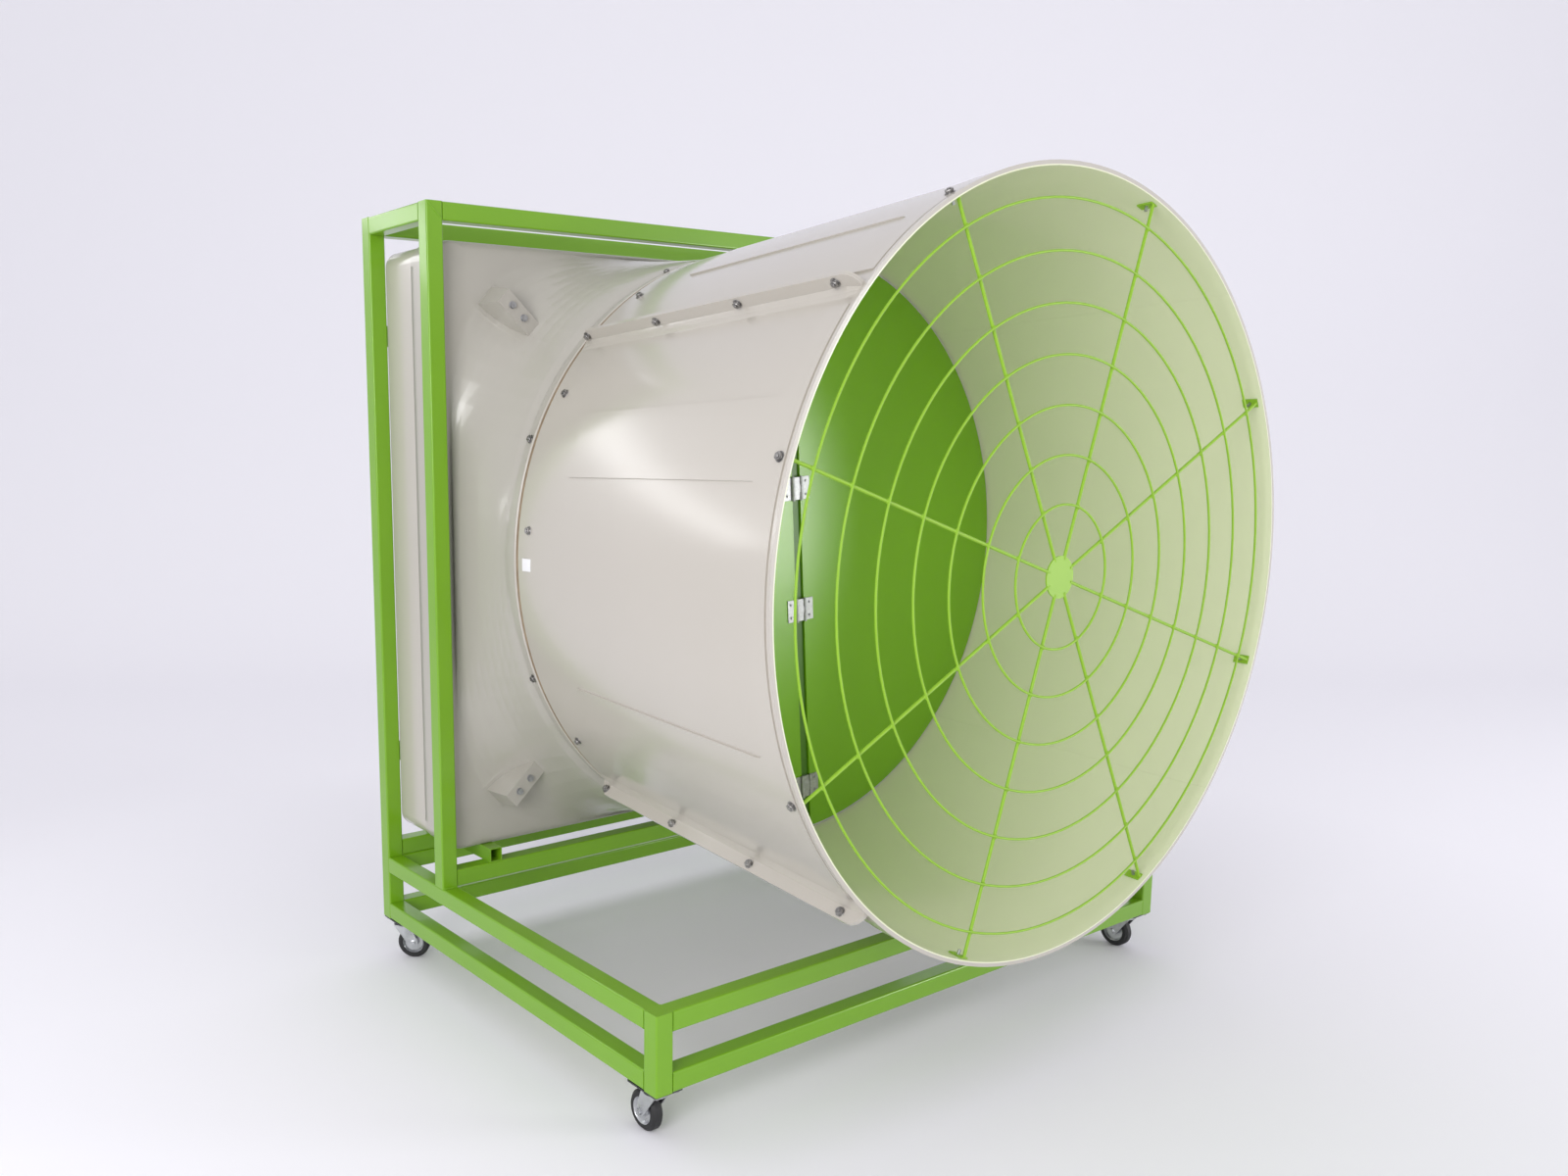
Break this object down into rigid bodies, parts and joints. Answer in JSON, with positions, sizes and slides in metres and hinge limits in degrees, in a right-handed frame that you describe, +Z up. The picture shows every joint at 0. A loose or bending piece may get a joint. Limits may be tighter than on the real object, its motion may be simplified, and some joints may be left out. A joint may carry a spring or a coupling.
{
  "type": "mobile exhaust fan",
  "caption": "Mobile exhaust fan: square moulded housing with a long round outlet cone, wire guard, butterfly shutter and fan, in a square-tube trolley on swivel casters.",
  "frame": {"origin": "centre of the overall box, on the floor under the wheels", "axes": "+Z up, +X to the right seen from the mouth's side, -Y out of the mouth"},
  "size_m": [1.98, 1.736, 2.258],
  "materials": {
    "green_paint": "gloss",
    "green_panel": "gloss",
    "cream_moulding": "gloss",
    "zinc_steel": "satin",
    "dark_steel": "satin",
    "motor_paint": "satin",
    "shaft_steel": "ground",
    "tyre_rubber": "matte"
  },
  "bodies": {
    "trolley": {"front_corner_posts": "green_paint", "rear_posts": "green_paint", "front_uprights": "green_paint", "lower_side_rails": "green_paint", "lower_cross_rails": "green_paint", "upper_side_rails": "green_paint", "upper_cross_rails": "green_paint", "top_side_rails": "green_paint", "top_cross_rails": "green_paint", "housing_cross_tubes": "green_paint", "housing_bearers": "green_paint", "tube_end_caps": "green_paint", "housing_clips": "green_paint", "caster_plates": "zinc_steel", "caster_plate_bolts": "zinc_steel", "housing_front": "cream_moulding", "housing_rear": "cream_moulding", "housing_bolts": "zinc_steel", "venturi_panel": "cream_moulding", "inlet_guard": "zinc_steel", "motor_struts": "dark_steel", "strut_bolts": "zinc_steel", "motor_plates": "dark_steel", "motor": "motor_paint", "motor_terminal_box": "motor_paint", "motor_bolts": "zinc_steel", "cone_segment_right": "cream_moulding", "cone_segment_top": "cream_moulding", "cone_segment_left": "cream_moulding", "cone_segment_bottom": "cream_moulding", "seam_bolts": "zinc_steel", "collar_bolts": "zinc_steel", "throat_ring": "cream_moulding", "centre_post": "green_panel", "hinge_brackets": "zinc_steel", "hinge_pins": "zinc_steel", "outlet_guard": "green_paint", "guard_bolts": "zinc_steel"},
    "impeller": {"motor_shaft": "shaft_steel", "impeller_hub": "dark_steel", "impeller_blades": "zinc_steel", "blade_bolts": "zinc_steel"},
    "door_left": {"door_left": "green_panel", "door_left_hinges": "zinc_steel"},
    "door_right": {"door_right": "green_panel", "door_right_hinges": "zinc_steel"},
    "caster_fl": {"caster_fork_fl": "zinc_steel"},
    "wheel_fl": {"caster_hub_fl": "zinc_steel", "caster_tyre_fl": "tyre_rubber"},
    "caster_fr": {"caster_fork_fr": "zinc_steel"},
    "wheel_fr": {"caster_hub_fr": "zinc_steel", "caster_tyre_fr": "tyre_rubber"},
    "caster_rl": {"caster_fork_rl": "zinc_steel"},
    "wheel_rl": {"caster_hub_rl": "zinc_steel", "caster_tyre_rl": "tyre_rubber"},
    "caster_rr": {"caster_fork_rr": "zinc_steel"},
    "wheel_rr": {"caster_hub_rr": "zinc_steel", "caster_tyre_rr": "tyre_rubber"}
  },
  "joints": [
    {"name": "impeller_spin", "type": "hinge", "parent": "trolley", "child": "impeller", "pos_m": [0, 0.5743, 1.293], "axis": [0, -1, 0], "continuous": true},
    {"name": "door_left_swing", "type": "hinge", "parent": "trolley", "child": "door_left", "pos_m": [-0.01596, 0.0424, 1.29188], "axis": [-0.0698, 0, 0.9976], "range_deg": [0, 85], "stiffness_Nm_per_rad": 2.5, "springref_deg": -57.3},
    {"name": "door_right_swing", "type": "hinge", "parent": "trolley", "child": "door_right", "pos_m": [0.01596, 0.0424, 1.29412], "axis": [0.0698, 0, -0.9976], "range_deg": [0, 85], "stiffness_Nm_per_rad": 2.5, "springref_deg": -57.3},
    {"name": "caster_fl_swivel", "type": "hinge", "parent": "trolley", "child": "caster_fl", "pos_m": [-0.948, -0.492, 0.106], "axis": [0, 0, 1], "continuous": true},
    {"name": "wheel_fl_spin", "type": "hinge", "parent": "caster_fl", "child": "wheel_fl", "pos_m": [-0.948, -0.46, 0.05], "axis": [-1, 0, 0], "continuous": true},
    {"name": "caster_fr_swivel", "type": "hinge", "parent": "trolley", "child": "caster_fr", "pos_m": [0.948, -0.492, 0.106], "axis": [0, 0, 1], "continuous": true},
    {"name": "wheel_fr_spin", "type": "hinge", "parent": "caster_fr", "child": "wheel_fr", "pos_m": [0.948, -0.46, 0.05], "axis": [-1, 0, 0], "continuous": true},
    {"name": "caster_rl_swivel", "type": "hinge", "parent": "trolley", "child": "caster_rl", "pos_m": [-0.948, 0.808, 0.106], "axis": [0, 0, 1], "continuous": true},
    {"name": "wheel_rl_spin", "type": "hinge", "parent": "caster_rl", "child": "wheel_rl", "pos_m": [-0.92422, 0.78659, 0.05], "axis": [0.6691, 0.7431, 0], "continuous": true},
    {"name": "caster_rr_swivel", "type": "hinge", "parent": "trolley", "child": "caster_rr", "pos_m": [0.948, 0.808, 0.106], "axis": [0, 0, 1], "continuous": true},
    {"name": "wheel_rr_spin", "type": "hinge", "parent": "caster_rr", "child": "wheel_rr", "pos_m": [0.92743, 0.78349, 0.05], "axis": [0.766, -0.6428, 0], "continuous": true}
  ]
}
